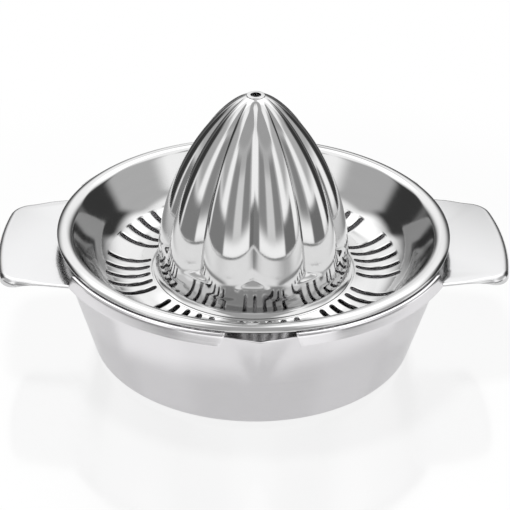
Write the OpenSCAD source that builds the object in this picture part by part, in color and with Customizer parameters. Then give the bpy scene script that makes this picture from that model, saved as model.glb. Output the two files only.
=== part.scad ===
// Hand citrus juicer of pressed stainless steel sheet. A strainer tray with a lobed reamer cone and
// two ears sits in the mouth of a juice bowl, and lifts straight off. The ears lie in two cut-outs of
// the bowl's rim, along X. The bowl pours at -Y. The origin is on the table, in the middle of the foot.

/* [Bowl] */
// Radius at which the wall would meet the table
foot_r = 65.6; // [58:0.1:70]
// Radius at which the wall would meet the height of the rim
mouth_r = 80; // [76:0.1:88]
// Height of the bowl to the crown of its rim
bowl_h = 50.5; // [46:0.5:64]
// Thickness of the bowl's sheet
bowl_t = 0.7; // [0.5:0.05:0.9]
// Inside radius of the bend between foot and wall
foot_bend = 2.5; // [1:0.1:5]
// Outside radius of the crown of the rim
crown_bend = 1.2; // [1:0.05:1.6]
// Height of the turned-down collar, from the crown to its edge
collar_h = 5.2; // [3:0.1:7]
// Lean of the collar from upright, in degrees
collar_lean = 12; // [0:1:20]

/* [Spout] */
// Width of the pouring lip
spout_w = 24; // [16:0.5:32]
// How far the middle of the lip is pressed out of the wall
spout_push = 2.75; // [1.5:0.05:5]
// Height from the crown of the rim down to the lip
lip_drop = 2; // [1:0.1:4]
// Height of the pressed crease below the lip
spout_h = 25.5; // [15:0.5:32]
// Width of the gap in the collar over the lip, at the crown
spout_gap_w = 26.4; // [20:0.2:34]
// Widening of that gap on each side, from the crown to the collar's edge
spout_gap_flare = 1.7; // [0:0.1:3]

/* [Strainer tray] */
// Thickness of the tray's sheet
tray_t = 0.6; // [0.4:0.05:0.8]
// Radius of the shoulder over which the wall turns out into the rim
shoulder_r = 4.4; // [3.6:0.1:6]
// Radius of the curl at the edge of the rim
curl_r = 0.8; // [0.75:0.05:1.4]
// How far the curl's middle lies inside the crown of the bowl's rim
curl_inset = 1.5; // [1.1:0.05:1.8]
// Depth of the tray, from the curl's middle to the lowest line of its trough
tray_depth = 20.2; // [16:0.1:23]
// Lean of the tray's wall from upright, in degrees
tray_lean = 33; // [30:0.2:40]
// Fall of the trough from the cone to its lowest line, in degrees at the cone
floor_fall = 24; // [15:0.5:30]

/* [Slots] */
// Number of slot groups round the floor
slot_groups = 8; // [4:1:8]
// Number of slots in a group
slots_per_group = 5; // [2:1:5]
// Angle from slot to slot, in degrees
slot_step = 7.3; // [5:0.1:8]
// Angle of the first group from the ears, in degrees
slot_turn = 6.8; // [0:0.1:45]
// Width of a slot
slot_w = 2.6; // [1.2:0.1:3]
// Distance from the floor's hole to a slot
slot_margin_in = 1; // [0.9:0.1:4]
// Distance from a slot to the foot of the wall
slot_margin_out = 5; // [1:0.1:6]

/* [Reamer cone] */
// Thickness of the cone's sheet
cone_t = 0.7; // [0.5:0.05:0.9]
// Radius of the cone over its lobes, at their toes
cone_r = 39; // [34:0.1:42]
// Height of the cone's tip over the tray's floor
cone_h = 77.2; // [60:0.1:95]
// Bulge of the cone: higher is fuller
cone_curve = 1.9; // [1.5:0.05:2.4]
// Taper of the cone towards its tip: higher is more pointed
cone_taper = 0.73; // [0.55:0.01:1]
// Number of lobes
lobes = 10; // [6:1:12]
// Angle of the front groove from the spout, in degrees
cone_turn = -2.3; // [-18:0.1:18]
// Depth of the grooves between the lobes, at the toes
groove_depth = 3.4; // [1:0.1:5]
// Height over the toes at which the grooves start
groove_start = 4.7; // [3:0.1:8]
// Height in which the grooves reach their depth
groove_runout = 3.5; // [2:0.5:8]
// Height of the plain skirt under the lobes' toes
skirt_h = 6; // [5:0.1:9]
// How far the toes stand out over the skirt
toe_step = 0.8; // [0.3:0.1:1.2]
// Height in which the toes are rounded in
toe_round = 1.2; // [0.8:0.1:2]
// How far the foot of the skirt flares out
skirt_flare = 2.6; // [0.5:0.1:3.5]
// Radius of the flat ring at the tip
tip_r = 3.6; // [3:0.1:6]
// Radius of the hole in the tip
tip_hole_r = 2.15; // [1:0.05:2.5]
// Width of the flange that laps under the tray's floor
flange_w = 0.8; // [0.5:0.1:1]

/* [Ears] */
// Thickness of the ears' sheet
ear_t = 0.9; // [0.7:0.1:1.2]
// How far an ear reaches past the crown of the bowl's rim
ear_reach = 23.3; // [15:0.1:35]
// Width of an ear where it passes the bowl's rim
ear_root_w = 73; // [50:1:84]
// Width of an ear at its end
ear_end_w = 62; // [40:1:70]
// Radius of the corners of an ear
ear_corner = 10; // [5:0.5:14]
// Radius of the bowed end of an ear
ear_bow = 130; // [80:5:200]
// Height of the turned-down lip at the end of an ear
ear_lip_h = 3.6; // [2:0.1:6]
// Height from the rim's underside down to the ears
ear_drop = 5.6; // [4:0.1:7]
// Height of the weld flange on the tray's wall, under an ear
weld_h = 5.5; // [3:0.1:7]
// Half the angle of that weld flange, in degrees
weld_half_angle = 22; // [10:1:28]

/* [Clearances] */
// Gap between the curl and the rim that it rests on
seat_gap = 0.3; // [0.15:0.05:0.5]
// Gap between the cone's skirt and the hole in the tray's floor
seam_gap = 0.2; // [0.1:0.05:0.4]
// Gap between an ear's weld flange and the tray's wall
weld_gap = 0.05; // [0.02:0.01:0.2]
// Gap below an ear in its cut-out
notch_gap = 0.4; // [0.3:0.1:1]
// Gap on each side of an ear in its cut-out
notch_side = 1.5; // [0.5:0.1:3]

/* [Hidden] */
$fn = 96;
// Room that a cutting shape runs past what it cuts
past = 2;
// How far the room inside the spout is spread into the bowl
spout_spread = 1.6;
// Height by which that room passes the lip
lip_past = 0.2;
// Steps on a bend of the sheet, and on the curl of the rim
bend_steps = 6;
curl_steps = 20;
// Facets of the cone: steps across a lobe, rows up the skirt and rows up the lobes
lobe_steps = 6;
skirt_rows = 5;
lobe_rows = 11;
steel = [0.78, 0.79, 0.80];
satin_steel = [0.70, 0.71, 0.72];

// The bowl's wall leans out by this angle
wall_lean = atan2(mouth_r - foot_r, bowl_h);
function wall_r(z) = foot_r + z * tan(wall_lean);
// Middle of the crown's arc
crown_z = bowl_h - crown_bend;
crown_inside = crown_bend - bowl_t;
crown_r = wall_r(crown_z) + crown_inside / cos(wall_lean);
lip_z = bowl_h - lip_drop;

// Angles at which the curl of the rim starts and ends
curl_from = 52;
curl_end = -140;
// Middle of the curl, which rests on the crown, and of the shoulder, which runs into the curl
curl_at = [crown_r - curl_inset,
           crown_z + sqrt(pow(curl_r + crown_bend + seat_gap, 2) - pow(curl_inset, 2))];
shoulder_at = curl_at - (shoulder_r - curl_r) * [cos(curl_from), sin(curl_from)];
wall_end = shoulder_at + shoulder_r * [-cos(tray_lean), sin(tray_lean)];

// Trough of the tray, a round section that starts at the hole and runs into the wall
trough_z = curl_at[1] - tray_depth;
skirt_r = cone_r - toe_step;
hole_r = skirt_r + skirt_flare + seam_gap + tray_t / 2;
trough_r = ((wall_end[0] - hole_r) * cos(tray_lean) - (wall_end[1] - trough_z) * sin(tray_lean))
    / (1 - sin(tray_lean) + sin(floor_fall) * cos(tray_lean));
trough_at = [hole_r + trough_r * sin(floor_fall), trough_z + trough_r];
wall_foot = trough_at + trough_r * [cos(tray_lean), -sin(tray_lean)];
floor_z = trough_at[1] - trough_r * cos(floor_fall);
function tray_wall_r(z) = wall_foot[0] + (z - wall_foot[1]) * tan(tray_lean) + tray_t / cos(tray_lean);

// Reamer cone levels
flange_top = floor_z - tray_t / cos(floor_fall);
toe_z = floor_z + skirt_h;
tip_z = floor_z + cone_h;
foot_z = flange_top - cone_t / 2;

// Ears, whose sides run straight from inside the tray's wall to the end
ear_top = curl_at[1] - curl_r - ear_drop;
ear_end_x = crown_r + ear_reach;
ear_rim_x = sqrt(pow(crown_r, 2) - pow(ear_root_w / 2, 2));
ear_root_x = 0.75 * hole_r;
ear_taper = (ear_root_w - ear_end_w) / 2 / (ear_end_x - ear_rim_x);
notch_z = ear_top - ear_t - notch_gap;

function point_on(at, radius, angle) = at + radius * [cos(angle), sin(angle)];
function ease(t) = t <= 0 ? 0 : t >= 1 ? 1 : t * t * (3 - 2 * t);
function reversed(list) = [for (i = [len(list) - 1:-1:0]) list[i]];
function unit(v) = v / norm(v);
// A list without its first item
function after_first(list) = [for (i = [1:len(list) - 1]) list[i]];

// Arc from one angle to another
function arc(at, radius, from, to, steps) =
    [for (i = [0:steps]) point_on(at, radius, from + (to - from) * i / steps)];

// Arc that rounds the corner of two lines
function round_corner(before, corner, after, radius, steps) =
    let(u = unit(before - corner),
        v = unit(after - corner),
        half = acos(u * v) / 2,
        middle = corner + unit(u + v) * radius / sin(half),
        a = corner + u * radius / tan(half) - middle,
        b = corner + v * radius / tan(half) - middle,
        from = atan2(a[1], a[0]),
        turn = atan2(a[0] * b[1] - a[1] * b[0], a * b))
    arc(middle, radius, from, from + turn, steps);

// The point of a path moved to its right by a sheet's thickness
function right_of(path, i, t) =
    let(d1 = unit(path[max(i, 1)] - path[max(i, 1) - 1]),
        last = len(path) - 1,
        d2 = unit(path[min(i, last - 1) + 1] - path[min(i, last - 1)]),
        n1 = [d1[1], -d1[0]],
        n2 = [d2[1], -d2[0]])
    path[i] + (n1 + n2) * t / (1 + n1 * n2);

// Section of a sheet that lies to the right of its path
module sheet_section(path, t) {
    polygon(concat(path, reversed([for (i = [0:len(path) - 1]) right_of(path, i, t)])));
}

// The bowl's upper face, from the axis over the foot and up the wall to the collar's edge
function bowl_path() =
    let(inner_foot = [wall_r(bowl_t) - bowl_t / cos(wall_lean), bowl_t],
        crown = [crown_r, crown_z],
        wall_top = point_on(crown, crown_bend, 180 - wall_lean),
        collar_top = point_on(crown, crown_bend, collar_lean),
        collar_z = bowl_h - collar_h,
        edge = [collar_top[0] + (collar_top[1] - collar_z) * tan(collar_lean), collar_z])
    concat([[0, bowl_t]],
        round_corner([0, bowl_t], inner_foot, wall_top, foot_bend, bend_steps),
        arc(crown, crown_bend, 180 - wall_lean, collar_lean, 2 * bend_steps),
        [edge]);

// The pressed spout, as a corner cut from the wall. It is grown from its low point and from its
// crease, which keeps its two faces in place.
module spout_form(shift, spread, grow) {
    low_z = lip_z - spout_h;
    low = [0, shift - wall_r(low_z), low_z];
    tip = [0, shift - wall_r(lip_z) - spout_push, lip_z];
    side_y = shift - sqrt(pow(wall_r(lip_z), 2) - pow(spout_w / 2, 2));
    left = tip + spread * ([-spout_w / 2, side_y, lip_z] - tip);
    right = tip + spread * ([spout_w / 2, side_y, lip_z] - tip);
    corners = [low, low + grow * (left - low), low + grow * (right - low), low + grow * (tip - low)];
    polyhedron(corners, [[0, 1, 3], [0, 3, 2], [0, 2, 1], [1, 2, 3]]);
}

// Gap in the collar over the lip, which leaves the wall below the lip
module spout_gap() {
    half = spout_gap_w / 2;
    low = half + spout_gap_flare;
    edge_z = bowl_h - collar_h;
    difference() {
        translate([0, -mouth_r / 2, 0]) rotate([90, 0, 0]) linear_extrude(mouth_r)
            polygon([[-low, edge_z - past], [low, edge_z - past], [low, edge_z],
                     [half, bowl_h], [half, bowl_h + past], [-half, bowl_h + past],
                     [-half, bowl_h], [-low, edge_z]]);
        cylinder(h = lip_z, r1 = wall_r(0) + crown_inside, r2 = wall_r(lip_z) + crown_inside);
    }
}

// Cut-out of the rim and the top of the wall for an ear, on the +X side
module ear_notch() {
    width = ear_root_w + 2 * notch_side;
    translate([mouth_r / 2, -width / 2, notch_z]) cube([mouth_r, width, bowl_h - notch_z + past]);
}

module juice_bowl() {
    // Shift that leaves one thickness of sheet on the spout's slanted faces
    fold = atan2(spout_push, spout_w / 2);
    color(satin_steel) difference() {
        union() {
            difference() {
                rotate_extrude() sheet_section(bowl_path(), bowl_t);
                spout_gap();
                ear_notch();
                rotate([0, 0, 180]) ear_notch();
            }
            spout_form(0, 1, 1);
        }
        spout_form(bowl_t / cos(fold), spout_spread, 1 + lip_past / spout_h);
    }
}

// The tray's upper face, from the hole through the trough and up the wall to the shoulder and the curl
function tray_path() = concat(
    arc(trough_at, trough_r, -90 - floor_fall, -tray_lean, 3 * bend_steps),
    arc(shoulder_at, shoulder_r, 180 - tray_lean, curl_from, bend_steps),
    after_first(arc(curl_at, curl_r, curl_from, curl_end, curl_steps)));

// A slot with round ends, along X
module slot() {
    from = hole_r + slot_margin_in + slot_w / 2;
    to = wall_foot[0] - slot_margin_out - slot_w / 2;
    translate([0, 0, trough_z - tray_t - past]) linear_extrude(wall_foot[1] - trough_z + tray_t + past) {
        translate([from, -slot_w / 2]) square([to - from, slot_w]);
        translate([from, 0]) circle(d = slot_w, $fn = 32);
        translate([to, 0]) circle(d = slot_w, $fn = 32);
    }
}

module strainer_tray() {
    color(steel) difference() {
        rotate_extrude() sheet_section(tray_path(), tray_t);
        for (group = [0:slot_groups - 1]) {
            for (i = [0:slots_per_group - 1]) {
                turn = group * 360 / slot_groups + (i - (slots_per_group - 1) / 2) * slot_step;
                rotate([0, 0, slot_turn + turn]) slot();
            }
        }
    }
}

// Crest of the lobes: [radius, height] along the skirt, over the toes and then up the cone. The rows
// of the cone close up where it turns in to the tip, and the last one lies inside the tip's ring.
crest_end = [tip_r - cone_t / 2, tip_z - cone_t / 2];
crest_climb = crest_end[1] - toe_z;
lobe_from = asin(pow((groove_start + groove_runout) / crest_climb, cone_curve / 2));
function skirt_point(t) = [skirt_r + skirt_flare * pow(1 - t, 2), foot_z + t * (toe_z - foot_z)];
function crest_point(rise) =
    let(out = max(1 - pow(rise / crest_climb, cone_curve), 0))
    [crest_end[0] + (cone_r - crest_end[0]) * pow(out, cone_taper), toe_z + rise];
function lobe_rise(t) = crest_climb * pow(sin(lobe_from + t * (90 - lobe_from)), 2 / cone_curve);
function crest_path() = concat(
    [for (i = [0:skirt_rows]) skirt_point(i / skirt_rows)],
    [crest_point(toe_round), crest_point(groove_start), crest_point(groove_start + groove_runout / 2)],
    [for (i = [0:lobe_rows]) crest_point(lobe_rise(i / lobe_rows))]);

// Depth of the groove beside a crest point. Between the toes it reaches in to the skirt alone, and it
// runs out at the tip's ring.
function groove_at(p) =
    let(toe = toe_step * ease((p[1] - toe_z) / toe_round),
        full = groove_depth * p[0] / cone_r,
        reach = ease((p[1] - toe_z - groove_start) / groove_runout))
    (toe + (full - toe) * reach) * ease((p[0] - tip_r) / tip_r);

// Round lobe between two grooves: its radius from the axis, at an angle from its crest
function lobe_radius(crest, groove, angle) =
    let(middle = (crest * crest - groove * groove) / (2 * (crest - groove * cos(180 / lobes))))
    middle * cos(angle) + sqrt(pow(crest - middle, 2) - pow(middle * sin(angle), 2));

// Rings of points of one skin of the cone, set in from the crest by a thickness
function cone_skin(t) =
    let(crest = crest_path(),
        inner = [for (i = [0:len(crest) - 1]) right_of(crest, i, -t)],
        around = lobes * lobe_steps)
    [for (i = [0:len(crest) - 1]) for (k = [0:around - 1])
        let(angle = (k % lobe_steps) * 360 / around,
            from_crest = angle - 180 / lobes,
            groove = inner[i][0] - groove_at(crest[i]),
            r = lobe_radius(inner[i][0], groove, from_crest),
            turn = k * 360 / around - 90 + cone_turn)
        [r * cos(turn), r * sin(turn), inner[i][1]]];

// Faces between the rings of the outer and the inner skin, and round the two edges
function cone_faces(rows, around) =
    let(skin = rows * around, top = (rows - 1) * around)
    [for (k = [0:around - 1])
        let(next = (k + 1) % around)
        each concat(
            [for (i = [0:rows - 2]) let(a = i * around) each [
                [a + k, a + around + k, a + around + next], [a + k, a + around + next, a + next],
                [skin + a + k, skin + a + around + next, skin + a + around + k],
                [skin + a + k, skin + a + next, skin + a + around + next]]],
            [[k, next, skin + next], [k, skin + next, skin + k],
             [top + k, skin + top + next, top + next], [top + k, skin + top + k, skin + top + next]])];

// Section of the flange, which laps under the trough along its slope
module cone_flange() {
    inner = skirt_r + skirt_flare - 2 * cone_t;
    fall = flange_w * tan(floor_fall);
    polygon([[inner, flange_top - cone_t], [hole_r, flange_top - cone_t],
             [hole_r + flange_w, flange_top - cone_t - fall], [hole_r + flange_w, flange_top - fall],
             [hole_r, flange_top], [inner, flange_top]]);
}

module reamer_cone() {
    around = lobes * lobe_steps;
    color(steel) difference() {
        union() {
            polyhedron(concat(cone_skin(0), cone_skin(cone_t)), cone_faces(len(crest_path()), around));
            rotate_extrude() cone_flange();
            translate([0, 0, tip_z - 2 * cone_t]) cylinder(h = 2 * cone_t, r = tip_r);
        }
        translate([0, 0, tip_z - 2 * cone_t - past]) cylinder(h = 2 * cone_t + 2 * past, r = tip_hole_r);
    }
}

// Outline of an ear on the +X side, set in on its free edges
module ear_outline(inset) {
    root = [ear_root_x, ear_root_w / 2 + ear_taper * (ear_rim_x - ear_root_x) - inset];
    end = [ear_end_x - inset, ear_end_w / 2 - inset];
    mirrored = [end[0], -end[1]];
    corner = round_corner(root, end, mirrored, ear_corner - inset, 2 * bend_steps);
    intersection() {
        polygon(concat([root], corner, reversed([for (p = corner) [p[0], -p[1]]]), [[root[0], -root[1]]]));
        translate([ear_end_x - ear_bow, 0]) circle(r = ear_bow - inset, $fn = 180);
    }
}

// Room that the tray's wall takes up, with the weld's gap
module tray_wall_room() {
    low_z = ear_top - weld_h - past;
    high_z = ear_top + past;
    low_r = tray_wall_r(low_z) + weld_gap;
    high_r = tray_wall_r(high_z) + weld_gap;
    translate([0, 0, low_z]) cylinder(h = high_z - low_z, r1 = low_r, r2 = high_r);
}

// Lip along the free edge of an ear, which grows from nothing at the rim to its height at the end
module ear_lip() {
    span = ear_end_x - crown_r;
    fall = atan2(ear_lip_h, span);
    difference() {
        translate([0, 0, ear_top - ear_lip_h]) linear_extrude(ear_lip_h) difference() {
            ear_outline(0);
            ear_outline(ear_t);
        }
        translate([crown_r, 0, ear_top - ear_t]) rotate([0, fall, 0])
            translate([-2 * mouth_r, -mouth_r, -mouth_r]) cube([2 * mouth_r + span, 2 * mouth_r, mouth_r]);
    }
}

// Flange of the ear's root, turned down along the tray's wall. It starts inside the plate, and runs
// into the room of the tray's wall, which is cut away from the whole ear.
module weld_flange() {
    low_z = ear_top - weld_h;
    high_z = ear_top - ear_t / 2;
    wide = weld_gap + ear_t / cos(tray_lean);
    rotate([0, 0, -weld_half_angle]) rotate_extrude(angle = 2 * weld_half_angle)
        polygon([[tray_wall_r(low_z) - past, low_z], [tray_wall_r(low_z) + wide, low_z],
                 [tray_wall_r(high_z) + wide, high_z], [tray_wall_r(high_z) - past, high_z]]);
}

module ear() {
    difference() {
        union() {
            translate([0, 0, ear_top - ear_t]) linear_extrude(ear_t) ear_outline(0);
            ear_lip();
            weld_flange();
        }
        tray_wall_room();
    }
}

module left_handle() {
    color(satin_steel) rotate([0, 0, 180]) ear();
}

module right_handle() {
    color(satin_steel) ear();
}

juice_bowl();
strainer_tray();
reamer_cone();
left_handle();
right_handle();
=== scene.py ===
"""Hand citrus juicer of pressed steel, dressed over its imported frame.

A satin juice bowl with a pouring spout carries a polished strainer tray with a lobed reamer cone and
two satin ears. Every piece is sheet metal: its upper face is modelled and then given its thickness.
"""

import math

import bmesh
import bpy
from bpy.props import FloatProperty, FloatVectorProperty, IntProperty, PointerProperty
from mathutils import Matrix, Vector


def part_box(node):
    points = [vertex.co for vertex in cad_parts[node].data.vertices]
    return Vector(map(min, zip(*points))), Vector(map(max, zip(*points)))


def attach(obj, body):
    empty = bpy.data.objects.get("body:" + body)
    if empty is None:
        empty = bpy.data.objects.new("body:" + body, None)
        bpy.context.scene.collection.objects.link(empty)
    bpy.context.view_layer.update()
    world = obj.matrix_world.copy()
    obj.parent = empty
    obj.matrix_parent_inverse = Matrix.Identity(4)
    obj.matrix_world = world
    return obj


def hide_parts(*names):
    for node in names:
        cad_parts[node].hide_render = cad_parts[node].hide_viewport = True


bl_info = {
    "name": "Citrus juicer",
    "version": (1, 0, 0),
    "blender": (4, 5, 0),
    "location": "View3D > Sidebar > Juicer",
    "description": "Builds a hand citrus juicer of pressed steel and the stage it is seen on",
    "category": "Add Mesh",
}

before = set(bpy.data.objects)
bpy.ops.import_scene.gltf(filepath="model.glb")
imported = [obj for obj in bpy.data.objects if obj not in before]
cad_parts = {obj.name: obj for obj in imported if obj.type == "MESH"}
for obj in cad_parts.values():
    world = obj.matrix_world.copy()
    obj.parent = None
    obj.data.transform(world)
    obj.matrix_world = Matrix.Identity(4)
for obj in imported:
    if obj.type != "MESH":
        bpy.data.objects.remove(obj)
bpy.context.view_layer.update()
BOWL_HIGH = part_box("juice_bowl")[1]
TRAY_LOW, TRAY_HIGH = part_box("strainer_tray")
CONE_LOW, CONE_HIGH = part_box("reamer_cone")
EAR_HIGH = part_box("right_handle")[1]
MM = 0.001
# Faces round the bowl and round each lobe of the cone
BOWL_SIDES = 320
LOBE_SIDES = 24
# The tray's faces round the axis: to a slot's pitch, to a group of slots, and to all eight groups
SLOT_CELLS = 6
GROUP_CELLS = 36
TRAY_SIDES = 8 * GROUP_CELLS
# Slots on each side of the middle slot of a group
SLOTS_ASIDE = 2
# Half width of the sheet that is cut and pressed at the spout, as a multiple of the spout's own
SPOUT_REACH = 1.6
# Height from the flange's upper face to the start of the skirt
SKIRT_FOOT = 0.6 * MM
# Grain: share of the fine streaks, range of its values, change of the colour, and height on the face
STREAK_SHARE = 0.7
GRAIN_LOW = 0.3
GRAIN_HIGH = 0.7
GRAIN_DARKER = 0.18
GRAIN_LIGHTER = 0.1
GRAIN_RELIEF = 0.02 * MM


def number(name, description, default, unit="NONE"):
    """A plain number, with or without a unit."""
    return FloatProperty(name=name, description=description, default=default, unit=unit)


def length(name, description, default):
    """A size in metres."""
    return FloatProperty(name=name, description=description, default=default, unit="LENGTH", precision=4)


def turn(name, description, degrees):
    """An angle, given in degrees."""
    return FloatProperty(
        name=name, description=description, default=math.radians(degrees), subtype="ANGLE", unit="ROTATION"
    )


def share(name, description, default):
    """A factor from 0 to 1."""
    return FloatProperty(
        name=name, description=description, default=default, min=0.0, max=1.0, subtype="FACTOR"
    )


def tint(name, description, default):
    """A colour."""
    return FloatVectorProperty(
        name=name, description=description, default=default, size=3, min=0.0, max=1.0, subtype="COLOR"
    )


class JuicerBowlSettings(bpy.types.PropertyGroup):
    """Sizes of the juice bowl"""

    foot_radius: length("Foot radius", "Radius at which the wall would meet the table", 65.6 * MM)
    mouth_radius: length("Mouth radius", "Radius at which the wall would meet the rim's height", 80 * MM)
    height: length("Height", "Height of the bowl to the crown of its rim", BOWL_HIGH.z)
    sheet: length("Sheet", "Thickness of the bowl's sheet", 0.7 * MM)
    foot_bend: length("Foot bend", "Inside radius of the bend between foot and wall", 2.5 * MM)
    crown_bend: length("Crown bend", "Outside radius of the crown of the rim", 1.2 * MM)
    collar_height: length("Collar height", "Height of the turned-down collar", 5.2 * MM)
    collar_lean: turn("Collar lean", "Lean of the collar from upright", 12)
    spout_width: length("Spout width", "Width of the pouring lip", 24 * MM)
    spout_push: length("Spout push", "How far the middle of the lip is pressed out", 2.75 * MM)
    spout_height: length("Spout height", "Height of the pressed crease below the lip", 25.5 * MM)
    lip_drop: length("Lip drop", "Height from the crown down to the lip", 2 * MM)
    lip_dip: length("Lip dip", "How much lower the middle of the lip lies", 0.3 * MM)
    gap_width: length("Gap width", "Width of the gap in the collar over the lip", 26.4 * MM)
    gap_flare: length("Gap flare", "Widening of that gap on each side, down the collar", 1.7 * MM)
    notch_width: length("Notch width", "Width of the rim's cut-outs for the ears", 76 * MM)
    notch_floor: length("Notch floor", "Height of the floor of those cut-outs", EAR_HIGH.z - 1.3 * MM)


class JuicerTraySettings(bpy.types.PropertyGroup):
    """Sizes of the strainer tray"""

    sheet: length("Sheet", "Thickness of the tray's sheet", 0.6 * MM)
    curl_radius: length("Curl radius", "Radius of the curl at the edge of the rim", 0.8 * MM)
    curl_reach: length("Curl reach", "Radius of the circle that the curl's middle follows", 78.68 * MM)
    curl_height: length("Curl height", "Height of the curl's middle", TRAY_HIGH.z - 1.56 * MM)
    curl_start: turn("Curl start", "Angle at which the shoulder runs into the curl", 52)
    curl_end: turn("Curl end", "Angle at which the curl ends, under the rim", -140)
    shoulder_radius: length("Shoulder radius", "Radius of the turn from the wall into the rim", 4.4 * MM)
    wall_lean: turn("Wall lean", "Lean of the wall from upright", 33)
    hole_radius: length("Hole radius", "Radius of the hole under the cone", 41.3 * MM)
    floor_fall: turn("Floor fall", "Fall of the trough at the cone", 24)
    low_height: length("Low height", "Height of the trough's lowest line", TRAY_LOW.z + 0.6 * MM)
    slot_width: length("Slot width", "Width of a slot", 2.6 * MM)
    slot_start: length("Slot start", "Radius at which the slots start", 42.3 * MM)
    slot_end: length("Slot end", "Radius at which the slots end", 60.6 * MM)
    slot_step: turn("Slot step", "Angle from slot to slot in a group", 7.3)
    slot_turn: turn("Slot turn", "Angle of the first group of slots from the ears", 6.8)


class JuicerConeSettings(bpy.types.PropertyGroup):
    """Sizes of the reamer cone"""

    sheet: length("Sheet", "Thickness of the cone's sheet", 0.7 * MM)
    flange_radius: length("Flange radius", "Outer radius of the flange under the tray", CONE_HIGH.x)
    flange_height: length("Flange height", "Height of the flange's upper face", CONE_LOW.z + 1.06 * MM)
    flange_fall: turn("Flange fall", "Fall of the flange, along the tray's floor", 24)
    skirt_radius: length("Skirt radius", "Radius of the skirt at the tray's floor", 40.8 * MM)
    flare_height: length("Flare height", "Height of the flare at the skirt's foot", 1.9 * MM)
    flare: length("Flare", "How far that flare reaches out", 1.6 * MM)
    waist_radius: length("Waist radius", "Radius of the skirt at its upper end", 37.9 * MM)
    waist_height: length("Waist height", "Height at which the skirt turns in to the grooves", 43.3 * MM)
    waist_round: length("Waist round", "Height in which the skirt turns in", 3.5 * MM)
    toe_height: length("Toe height", "Height at which the lobes' curve starts", 37.7 * MM)
    radius: length("Radius", "Radius over the lobes at their toes", 39 * MM)
    tip_height: length("Tip height", "Height of the tip", CONE_HIGH.z)
    tip_radius: length("Tip radius", "Radius of the flat ring at the tip", 3.6 * MM)
    hole_radius: length("Hole radius", "Radius of the hole in the tip", 2.15 * MM)
    curve: number("Curve", "Bulge of the cone: higher is fuller", 1.9)
    taper: number("Taper", "Taper to the tip: higher is more pointed", 0.73)
    lobes: IntProperty(name="Lobes", description="Number of lobes", default=10, min=6, max=12)
    groove_depth: length("Groove depth", "Depth of the grooves between the lobes", 3.4 * MM)
    turn: turn("Turn", "Angle of the front groove from the spout", -2.3)


class JuicerEarSettings(bpy.types.PropertyGroup):
    """Sizes of the two ears"""

    sheet: length("Sheet", "Thickness of the ears' sheet", 0.9 * MM)
    top: length("Top", "Height of an ear's upper face", EAR_HIGH.z)
    end: length("End", "Distance of an ear's end from the axis", EAR_HIGH.x)
    rim: length("Rim", "Distance at which an ear passes the bowl's rim", 80.18 * MM)
    root_width: length("Root width", "Width of an ear where it passes the rim", 73 * MM)
    end_width: length("End width", "Width of an ear at its end", 62 * MM)
    corner: length("Corner", "Radius of the corners", 10 * MM)
    bow: length("Bow", "Radius of the bowed end", 130 * MM)
    bend: length("Bend", "Radius of the turned-down edge", 2.6 * MM)
    lip: length("Lip", "Height of the turned-down lip at the end", 3.6 * MM)
    root_radius: length("Root radius", "Radius at which an ear meets the tray's wall", 69.7 * MM)
    weld_height: length("Weld height", "Height of the weld flange under an ear", 5.5 * MM)
    weld_angle: turn("Weld angle", "Half the angle of the weld flange", 22)
    weld_lean: turn("Weld lean", "Lean of the weld flange along the tray's wall", 33)


class JuicerFinishSettings(bpy.types.PropertyGroup):
    """Finish of the two kinds of steel"""

    # The bowl and the ears are one satin steel. Their two colours hold painted light and shade: the bowl's
    # is lighter for the dimmer floor that it mirrors, and the ears' is darker for the brighter studio that
    # they mirror.
    bowl_lit_color: tint("Bowl colour", "Colour of the bowl's satin steel", (0.79, 0.78, 0.795))
    ear_shaded_color: tint("Ear colour", "Colour of the ears' satin steel", (0.66, 0.66, 0.665))
    satin_roughness: share("Satin roughness", "Roughness of the satin steel", 0.17)
    satin_grain: share("Satin grain", "Strength of the brushed grain", 0.25)
    polished_color: tint("Polished colour", "Colour of the polished steel", (0.62, 0.62, 0.62))
    polished_roughness: share("Polished roughness", "Roughness of the polished steel", 0.08)
    polished_haze: share("Polished haze", "Strength of the fine haze on the polish", 0.3)


class JuicerStageSettings(bpy.types.PropertyGroup):
    """Floor, light and camera"""

    floor_color: tint("Floor colour", "Colour of the floor", (0.9, 0.9, 0.9))
    floor_shadow: share("Floor shadow", "How much of the floor's own shading shows", 0.08)
    mirror_shadow: share("Mirrored shadow", "How much of the floor's shading shows in the metal", 0.45)
    floor_gloss: share("Floor gloss", "How much the floor reflects", 0.1)
    gloss_roughness: share("Gloss roughness", "Roughness of the floor's mirror image", 0.12)
    floor_radius: length("Floor radius", "Radius of the round floor", 0.3)
    shade_start: length("Shade start", "Radius at which the floor's shading starts to fade", 0.12)
    shade_end: length("Shade end", "Radius at which the floor is white", 0.26)
    studio_power: number("Studio power", "Brightness of the studio in the metal", 1.38)
    room_light: share("Room light", "Brightness of the light from all round", 0.35)
    lamp_size: length("Lamp size", "Width of the overhead lamp", 0.25)
    lamp_power: number("Lamp power", "Power of the overhead lamp", 12.6, "POWER")
    camera_distance: length("Camera distance", "Distance of the camera from its target", 0.7)
    camera_height: turn("Camera height", "Angle of the camera over the table", 30.279)
    camera_side: turn("Camera side", "Angle of the camera from the spout", -2.3)
    camera_roll: turn("Camera roll", "Roll of the camera", 0.927)
    target_height: length("Target height", "Height of the camera's target on the axis", 37.55 * MM)
    lens: number("Lens", "Focal length of the camera", 120.45, "CAMERA")


def ease(t):
    """Smooth step from 0 to 1."""
    t = min(max(t, 0.0), 1.0)
    return t * t * (3.0 - 2.0 * t)


def soft_max(a, b, width):
    """The larger of two values, with a rounded change from one to the other."""
    gap = max(width - abs(a - b), 0.0) / width
    return max(a, b) + gap * gap * width / 4.0


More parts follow.
